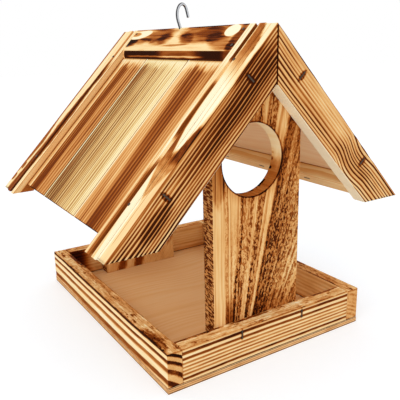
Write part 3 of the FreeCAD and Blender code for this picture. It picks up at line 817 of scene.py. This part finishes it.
def post_wood(name, end, seed):
    """The fan's number is the place across the board, in mm from its left part at mid height."""
    wood = Wood(name, (0, 0, 0), ALONG_Z, ALONG_X, ALONG_Y, seed)
    z, x, y = wood.s, wood.u, wood.v * end
    wave = wood.wild(z / 60, x / 40, seed + 1, gain=5)
    ragged = wood.wild(z / 7, x / 3, seed + 2)
    spread = 1 + (z - 100) * 0.005
    fan = (x + 48) / spread * x.step(-49, -47) + (x + 48) * x.step(-47, -49) + wave * 0.5
    rim = fan + ragged * 0.5
    wide = 18 - z.step(125, 80) * 5
    streak = (6.5 - (rim - wide).size()).step(-1.2, 1.2) * (0.45 + (rim - wide).size().step(1.5, 5) * 0.45)
    streak = streak + rim.band(28, 34.5, 0.9) * 0.9 + rim.band(-5, -0.5, 0.8) * 0.4
    streak = streak + rim.band(43, 50, 1.6) * 0.9 + rim.step(49, 53) * 0.4
    thin = wood.noise(wood.point(z / 260, fan / 2.6, seed + 5), rough=0.6).step(0.46, 0.64)
    columns = wood.noise(wood.point(z / 160, fan / 3.2, seed + 7), detail=1.0).step(0.42, 0.58)
    heavy = rim.step(42, 46)
    right_part = rim.step(52, 96)
    through = wood.v * 0.5 + seed
    pits = wood.noise(wood.point(z * 0.30, (x - z * 0.2) * 0.54, through), detail=1.5, rough=0.6)
    pits = pits.step(0.45, 0.54) * (1 - z.step(160, 240) * 0.5)
    tender = wood.noise(wood.point(z * 0.26, x * 0.54, through + 3), detail=1.5, rough=0.6).step(0.47, 0.54)
    toast = 0.25 + wood.fibre(0.4, 60) * 0.08 + thin * (0.20 - heavy * z.step(240, 200) * 0.10)
    toast += streak * 0.18
    burnt = pits * (0.24 + columns * 0.20 - right_part * 0.14) + columns * 0.07 + 0.06 - right_part * 0.16
    toast += switch(heavy, tender * streak.least(1.0) * 0.30, burnt)
    beside_hole = oval((z - 218) / 34, (x + 61) / 9, 0.6, ragged * 0.3) * (0.20 + thin * 0.42)
    toast = toast + beside_hole + oval((z - 268) / 30, (x + 34) / 12, 0.9, ragged * 0.3) * thin * 0.24
    low = (z + wave * 3).step(82, 52)
    toast += low * (rim.band(-4, 9, 2) + streak * 0.5 + heavy * 0.3) * 0.36
    pale_part = rim.band(2, 42, 3) * tender * (z + wave * 4).step(190, 110)
    toast = toast + pale_part * (0.10 + thin * 0.12) + wood.cloud(70, 16) * 0.06
    from_hole = ((x - HOLE_X) * (x - HOLE_X) + (z - HOLE_Z) * (z - HOLE_Z)).sqrt()
    outline = (from_hole + ragged * 0.5).band(HOLE_RADIUS - 1, HOLE_RADIUS + 1.4, 0.7)
    toast += outline * (0.26 + (z - HOLE_Z).step(10, -20) * 0.2)
    toast += from_hole.step(HOLE_RADIUS + 14, HOLE_RADIUS) * 0.10
    side_face = x.step(POST_LEFT + 0.8, POST_LEFT + 0.3) + x.step(POST_RIGHT - 0.8, POST_RIGHT - 0.3)
    side_face = side_face.least(1.0)
    strokes = wood.point(z * 0.46 + y * 0.10, y * 0.15 + seed, seed + 8)
    scribble = wood.noise(strokes, rough=0.6, warp=0.5).step(0.46, 0.53)
    toast = switch(side_face, toast, 0.40 + scribble * 0.42 + wood.cloud(50, 8) * 0.08)
    inner_face = y.step(POST_INNER + 0.2, POST_INNER - 0.2)
    stains = oval((z - 16) / 20, (x + 46 - z * 0.3) / 7, 0.9, ragged * 0.5)
    stains += oval((z - 18) / 18, (x + 18 - z * 0.3) / 7.5, 0.9, ragged * 0.5)
    stains += oval((z - 66) / 30, (x - 38) / 13, 0.5, ragged * 0.3)
    toast = switch(inner_face, toast, 0.28 + thin * 0.08 + wood.cloud(40, 12) * 0.08 + stains * 0.42)
    wall = from_hole.step(HOLE_RADIUS + 0.45, HOLE_RADIUS + 0.15) * y.band(139.4, 156.2, 0.4)
    low_wall = (z - HOLE_Z + wood.cloud(20, 10) * 6).step(8, -18)
    torn = wood.noise(wood.point(z / 5, x / 5, seed + 11), detail=1.0).step(0.47, 0.54)
    torn *= (y + ragged * 1.2).step(143.6, 142.6)
    low_wall *= (0.46 + ragged * 0.08 + torn * 0.5)
    toast = switch(wall, toast, 0.08 + low_wall + thin * 0.04)
    dress(wood.toasted(toast, 1 - pits * heavy * 0.8 - scribble * side_face * 0.6, 0.4), name)


post_wood("front_post", FRONT, 13.0)
post_wood("rear_post", REAR, 14.0)

# %% [markdown]
# ## Tray boards
#
# The left board's rings are nearly a centimetre wide, so four or five pale bands run along it and slant
# across its end. The front board comes from a slower tree with twice as many lines.

# %% Tray boards
BOARD = 18.0
BOARD_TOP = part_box("tray_side_left")[1][2] / MM
TRAY_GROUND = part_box("tray_side_left")[0][2] / MM
TRAY_STAPLES = (-43.5, 43.5)


def tray_board(name, along, through, ring, heart, gain, pale, seed, dark=0.42, wander=1.0,
               end=(0.08, 0.0), burnt=None, scars=()):
    """A tray board. end says how toasted its end grain is, and how much its lines show there.

    burnt gives the places along the board where a char begins and is full, and scars the spots on its top.
    """
    ways = along, ALONG_Z, through
    wood = Wood(name, (0, 0, 0), *ways, seed)
    s, z, out = wood.s, wood.u, wood.v
    box = np.array(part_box(name)) / MM @ np.array(ways, float).T
    low, high = box.min(0), box.max(0)
    face = high[2]
    lines = wood.lines(wood.kept(), dark=dark, soft=0.24)
    patchy = wood.cloud(40, 6, step=6.0)
    toast = pale + lines * (gain + patchy * 0.20) + wood.fibre(0.5, 60) * 0.08 + wood.cloud(80, 12) * 0.06
    mottle = wood.wild(s / 6, z / 3, out / 2.6, 3.0, 0.65)
    streak = wood.fibre(0.5, 30)
    top = 0.30 + streak * 0.24 + wood.cloud(40, 8, 3.0) * 0.18 + lines * 0.10 + mottle * 0.22
    top += (wood.cloud(30, 9, step=5.0) + mottle * 0.5).step(0.25, 0.7) * 0.38
    top -= (wood.cloud(36, 5, step=9.0) + streak * 0.4).step(0.05, 0.7) * 0.11
    for middle, deep, length, width in scars:
        top += oval((s - middle) / length, (out - deep) / width, 0.7, mottle * 0.9) * 0.40
    on_top = z.step(BOARD_TOP - 0.9, BOARD_TOP - 0.4)
    toast = switch(on_top, toast, top)
    toast += z.band(BOARD_TOP - 1.9, BOARD_TOP - 0.6, 0.5) * 0.20
    toast += on_top * (out.step(face - 1.6, face - 0.5) + out.step(face - 16.4, face - 17.5)) * 0.24
    char = s.step(*burnt) if burnt else 0.0
    # Inner face. Towards the tray floor it is darker: painted shade in the corner.
    inner = 0.26 + wood.cloud(60, 14) * 0.08 + lines * 0.10 + z.step(14, 7) * 0.15 + char * 0.62
    toast = switch(out.step(face - BOARD + 0.9, face - BOARD + 0.4), toast, inner)
    toast += z.step(TRAY_GROUND + 1.8, TRAY_GROUND + 0.6) * 0.40
    tips = s.step(low[0] + 0.7, low[0] + 0.2) + s.step(high[0] - 0.7, high[0] - 0.2)
    toast += tips * (end[0] + lines * end[1])
    if name == "tray_front_board":
        for place in TRAY_STAPLES:
            toast += oval((s - place) / 2.0, (z - 39) / 6.4, 0.5, mottle * 0.5) * 0.24
    material = wood.toasted(toast, 1 - wood.fibre(1.6, 20) * 0.5, 0.10)

    def count(s, u, v):
        return ring_count(s, u, v, heart, ring, wander, reach=330, uneven=0.3, seed=seed)

    brushed_board(name, material, (0, 0, 0), ways, low, high - low, count, dark)


tray_board("tray_side_left", ALONG_Y, (-1, 0, 0), 9.6, (-52, 175), 0.78, 0.10, 15.0, dark=0.36, wander=1.6,
           end=(0.20, 0.0), scars=((-140, 133, 26, 5), (120, 122, 30, 2.5)))
tray_board("tray_side_right", ALONG_Y, (1, 0, 0), 5.5, (-60, 90), 0.30, 0.24, 16.0, end=(0.10, -0.18),
           scars=((-112, 120, 42, 3.5), (-60, 134, 30, 2)))
tray_board("tray_front_board", ALONG_X, (0, -1, 0), 5.0, (-90, 150), 0.58, 0.17, 17.0, dark=0.44,
           scars=((-96, 158, 40, 3), (-20, 160, 30, 2), (95, 158, 24, 3)))
tray_board("tray_rear_board", ALONG_X, (0, 1, 0), 5.0, (-80, 140), 0.34, 0.24, 18.0, burnt=(-82, -104))

# %% [markdown]
# ## Plywood
#
# The tray's floor and the roof's lining are thin plywood, which was never torched. The grain of its outer
# sheet shows as faint wavy arches, and its edges show the glued layers.

# %% Plywood
BIRCH = [
    (0.00, 255, 248, 234),
    (0.12, 251, 224, 184),
    (0.26, 240, 196, 140),
    (0.45, 208, 148, 90),
    (0.70, 138, 80, 38),
    (1.00, 58, 30, 14),
]


def plywood(name, along, across, through, origin, thickness, layers, pale, seed):
    wood = Wood(name, origin, along, across, through, seed)
    arches = wood.rings((0, 30), 9.0, sway=16, reach=200, uneven=0.6)
    lines = wood.lines(arches, dark=0.3, sharp=0.3, soft=0.5)
    toast = pale + lines * 0.05 + wood.fibre(0.5, 70) * 0.035 + wood.cloud(120, 40) * 0.02
    layer = (wood.v * (layers / thickness)).part()
    stripes = layer.band(0.15, 0.5, 0.15)
    edge = 0.33 + stripes * 0.20 + wood.cloud(30, 8) * 0.12
    # Both rims of an edge are darker. On the tray floor the lower rim is painted shade where the sheet stands
    # on the ground, and the upper rim is the dark joint under the boards.
    edge = edge + wood.v.step(thickness - 1.2, thickness - 0.6) * 0.45 + wood.v.step(1.8, 0.8) * 0.50
    inside = wood.v.band(0.35, thickness - 0.35, 0.1)
    toast = switch(inside, toast, edge)
    dress(wood.toasted(toast, 1 - lines * 0.3, 0.08, 0.55, BIRCH), name)


LINER_DEPTH = 20

plywood("tray_floor", ALONG_X, ALONG_Y, ALONG_Z, (0, 0, 0), 6.5, 2.5, 0.23, 19.0)
for side_name, side in SIDES.items():
    top = tuple(np.array(APEX) + LINER_DEPTH * np.array(into_slope(side)))
    plywood("roof_liner_" + side_name, ALONG_Y, down_slope(side), into_slope(side), top, 4.0, 1.5,
            0.0, 20.0 + side)

# %% [markdown]
# ## Battens
#
# A batten under each eave is plain planed spruce with faint straight grain.

# %% Battens
def batten_wood(name, side, seed):
    wood = Wood(name, APEX, ALONG_Y, down_slope(side), into_slope(side), seed)
    depth = wood.v
    lines = wood.lines(wood.rings((150, 60), 3.4), dark=0.35, soft=0.5)
    toast = 0.15 + lines * 0.12 + wood.fibre(0.8, 60) * 0.05 + wood.cloud(70, 12) * 0.04
    # Painted shade: the batten is darker where it meets the liner, on the narrow face that looks up the
    # slope.
    toast += depth.step(25.8, 24.4) * 0.36
    dress(wood.toasted(toast, 1 - lines * 0.4, 0.12), name)


batten_wood("eave_batten_left", LEFT, 22.0)
batten_wood("eave_batten_right", RIGHT, 23.0)

# %% [markdown]
# ## Metal
#
# The hook is bright zinc-plated wire. The staples and nails are duller and browner. Small spots of another
# tone lie on both.

# %% Metal
def wire_finish(name, colour, rough, dark_scale=0.45, painted_sheen=False):
    """Metal in a bright and a darker tone: bright in spots, or where the wire's mesh keeps a painted sheen.
    """
    finish = Finish(name)
    spots = finish.noise(finish.vector("SCALE", finish.place, Scale=0.8), detail=3.0)
    bright = spots
    if painted_sheen:
        bright = finish.kept() + (spots - 0.5) * 0.3
    dark = (*(part * dark_scale for part in colour), 1)
    tone = finish.blend(bright.least(1.0).most(0.0), dark, (*colour, 1))
    finish.shader.inputs["Metallic"].default_value = 1.0
    return finish.finish(tone, rough + (spots - 0.5) * 0.2, finish.bump(spots, 0.03))


dress(wire_finish("staple_wire", paint(98, 82, 68), 0.45),
      "rake_staples", "post_staples", "floor_staples", "roof_staples", "slat_nails", "lath_nails")

# %% [markdown]
# ## Hook
#
# The hook is one wire, bent up from the ridge to the left, over a narrow top and down to an open tip. Like
# the boards it is worked out as an array: the surface of a block, made round and bent along the wire's line,
# so that both ends are closed. A painted reflection makes it bright on the flanks that face along Y and
# nearly black round the rest of the wire.

# %% Hook
HOOK_Y, WIRE_RADIUS = 12.0, 1.75
HOOK_LINE = np.array([
    (0, 340), (0, 352), (0, 363), (-1.6, 369), (-3.8, 376.5), (-3.8, 384), (-1.2, 390.5), (3.3, 393.2),
    (7.7, 390.5), (10.2, 384), (11.8, 377)], float)


def curve_through(corners, t):
    """Points at t, from 0 to 1, on a Catmull-Rom curve through the corners.

    Between two corners b and c, with a before and d after them, and f the share of the way, a point is half
    of 2b + (c - a) f + (2a - 5b + 4c - d) f^2 + (3b - a - 3c + d) f^3.
    """
    spans = len(corners) - 1
    first = np.clip(np.floor(t * spans).astype(int), 0, spans - 1)
    f = (t * spans - first)[:, None]
    a, b, c, d = (corners[np.clip(first + shift, 0, spans)] for shift in (-1, 0, 1, 2))
    return 0.5 * (2 * b + (c - a) * f + (2 * a - 5 * b + 4 * c - d) * f ** 2
                  + (3 * b - a - 3 * c + d) * f ** 3)


def make_hook(material):
    """A round wire along HOOK_LINE, in the plane y = HOOK_Y.

    A square's point (a, b), within 1 each way, goes to (a sqrt(1 - b^2 / 2), b sqrt(1 - a^2 / 2)) on a disc;
    a is measured in the hook's plane, square to the line, and b along Y. Near either end the disc shrinks as
    a ball's does.
    """
    along, side = np.linspace(0, 1, 180), np.linspace(-1, 1, 9)
    steps, quads = shell([along, side, side])
    t, a, b = (lines[column] for lines, column in zip((along, side, side), steps.T))
    line = curve_through(HOOK_LINE, t)
    ahead = (curve_through(HOOK_LINE, np.minimum(t + 0.002, 1))
             - curve_through(HOOK_LINE, np.maximum(t - 0.002, 0)))
    ahead /= np.linalg.norm(ahead, axis=1, keepdims=True)
    length = np.linalg.norm(np.diff(HOOK_LINE, axis=0), axis=1).sum()
    left = np.clip(np.minimum(t, 1 - t) * length / WIRE_RADIUS, 0, 1)
    radius = WIRE_RADIUS * np.maximum(np.sqrt(1 - (1 - left) ** 2), 0.2)
    across, flank = a * np.sqrt(1 - b * b / 2) * radius, b * np.sqrt(1 - a * a / 2) * radius
    x, z = line[:, 0] + ahead[:, 1] * across, line[:, 1] - ahead[:, 0] * across
    points = np.stack([x, HOOK_Y + flank, z], -1)
    # Painted reflection: the share of the bright tone, 1 on the flanks that face along Y. It goes on the mesh
    # as its ring number.
    painted_sheen = smooth(np.abs(flank) / radius, 0.74, 1.0)
    make_piece("bent_hook", points, quads, painted_sheen, material, "hanging_hook")


make_hook(wire_finish("zinc_plate", paint(214, 216, 220), 0.22, dark_scale=0.05, painted_sheen=True))

# %% [markdown]
# ## Floor, light and background
#
# The picture is a bright studio shot: white all round, a soft small shadow, no hard edges. The world lights
# the object evenly from everywhere and one large lamp from the front left gives the faces their difference.
# The floor takes the shadow. It glows a little by itself, and more towards the camera, to come out white.

# %% Floor
FLOOR_REACH = 6.0
GLOW, CAMERA_GLOW = 0.34, 0.145


def make_floor():
    """A square sheet at z = 0, FLOOR_REACH metres each way."""
    mesh = bpy.data.meshes.new("studio_floor")
    corners = [(x * FLOOR_REACH, y * FLOOR_REACH, 0) for x, y in ((-1, -1), (1, -1), (1, 1), (-1, 1))]
    mesh.from_pydata(corners, [], [(0, 1, 2, 3)])
    floor = add("studio_floor", mesh)
    finish = Finish("studio_floor")
    finish.shader.inputs["Base Color"].default_value = (0.585, 0.60, 0.625, 1)
    finish.shader.inputs["Roughness"].default_value = 0.9
    finish.shader.inputs["Specular IOR Level"].default_value = 0.0
    sight = finish.node("ShaderNodeLightPath", {}, {}, "Is Camera Ray")
    glow = finish.node("ShaderNodeEmission", {}, {
        "Color": (0.95, 0.98, 1, 1), "Strength": GLOW + sight * CAMERA_GLOW})
    both = finish.node("ShaderNodeAddShader", {}, {0: finish.shader.outputs[0], 1: glow})
    finish.plug(finish.tree.nodes["Material Output"].inputs["Surface"], both)
    mesh.materials.append(finish.material)


make_floor()


# %% World and lamp
WORLD_LIGHT = 0.98
KEY_WATTS = 5.0


def make_world():
    world = bpy.data.worlds.new("studio")
    world.use_nodes = True
    bpy.context.scene.world = world
    tree = world.node_tree
    background = tree.nodes["Background"]
    paths = tree.nodes.new("ShaderNodeLightPath")
    mix = tree.nodes.new("ShaderNodeMix")
    tree.links.new(paths.outputs["Is Camera Ray"], mix.inputs[0])
    mix.inputs[2].default_value = WORLD_LIGHT
    mix.inputs[3].default_value = 1.0
    tree.links.new(mix.outputs[0], background.inputs["Strength"])
    background.inputs["Color"].default_value = (1, 1, 1, 1)


def make_lamp(name, place, watts, size):
    """A square lamp aimed at the feeder's middle; place is in metres."""
    light = bpy.data.lights.new(name, "AREA")
    light.size = size
    light.energy = watts
    away = np.array(place, float) - (0, 0, 0.18)
    away /= np.linalg.norm(away)
    stand(add(name, light), place, away)


make_world()
make_lamp("key", (-1.3, -0.8, 1.1), KEY_WATTS, 0.9)
bpy.context.scene.view_settings.view_transform = "Standard"
